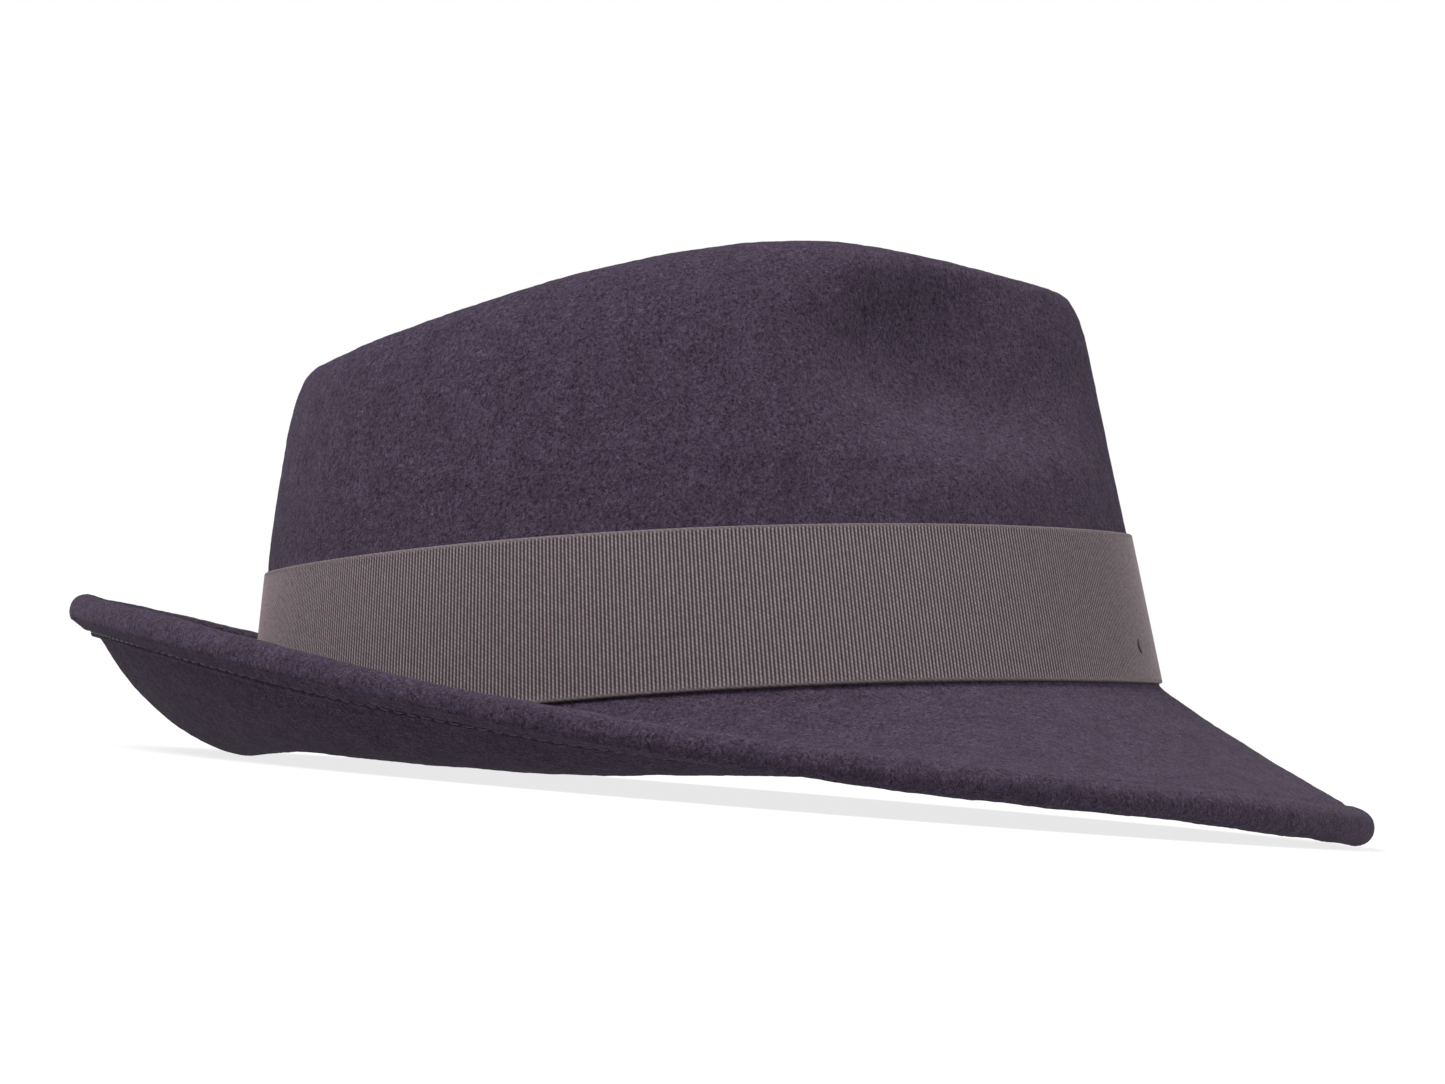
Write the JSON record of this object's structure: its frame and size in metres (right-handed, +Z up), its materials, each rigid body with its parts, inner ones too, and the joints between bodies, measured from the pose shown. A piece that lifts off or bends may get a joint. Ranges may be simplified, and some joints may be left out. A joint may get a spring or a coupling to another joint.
{
  "type": "fedora hat",
  "caption": "Snap-brim fedora of wool felt with a creased, pinched crown, a grosgrain band with a side bow, a sweatband and a satin lining.",
  "frame": {"origin": "centre of the head opening, level with the brim break in front", "axes": "+X to the front of the hat, +Y to the wearer's left, +Z up as the hat stands on its brim on a table; the head opening's own axis leans back by 8 degrees"},
  "size_m": [0.2994, 0.2828, 0.1239],
  "materials": {
    "wool_felt": "soft brushed wool felt, matte",
    "felt_thread": "matte sewing thread",
    "grosgrain": "ribbed ribbon, low sheen",
    "band_thread": "matte sewing thread",
    "sweatband_leather": "smooth, semi-matte",
    "reed_tape_cotton": "matte cotton tape",
    "reed_plastic": "matte",
    "lining_satin": "satin, soft sheen",
    "label_satin": "woven satin, no print"
  },
  "bodies": {
    "hood": {"felt_hood": "wool_felt", "welt_thread_rear": "felt_thread", "hat_band": "grosgrain", "bow_underlay": "grosgrain", "bow_loops": "grosgrain", "bow_knot": "grosgrain", "band_tack_front": "band_thread", "band_tack_back": "band_thread", "sweatband": "sweatband_leather", "reed_tape": "reed_tape_cotton", "sweatband_reed": "reed_plastic", "sweatband_thread": "band_thread", "sweatband_back_seam": "band_thread", "sweatband_bow": "grosgrain", "lining_side": "lining_satin", "lining_tip": "lining_satin", "lining_piping": "lining_satin", "main_label": "label_satin", "size_label": "label_satin"},
    "snap_brim": {"front_brim": "wool_felt", "welt_thread_front": "felt_thread"}
  },
  "joints": [
    {"name": "front_brim_snap", "type": "hinge", "parent": "hood", "child": "snap_brim", "pos_m": [0.1061, 0, 0.0139], "axis": [0, -1, 0], "range_deg": [0, 60]}
  ]
}
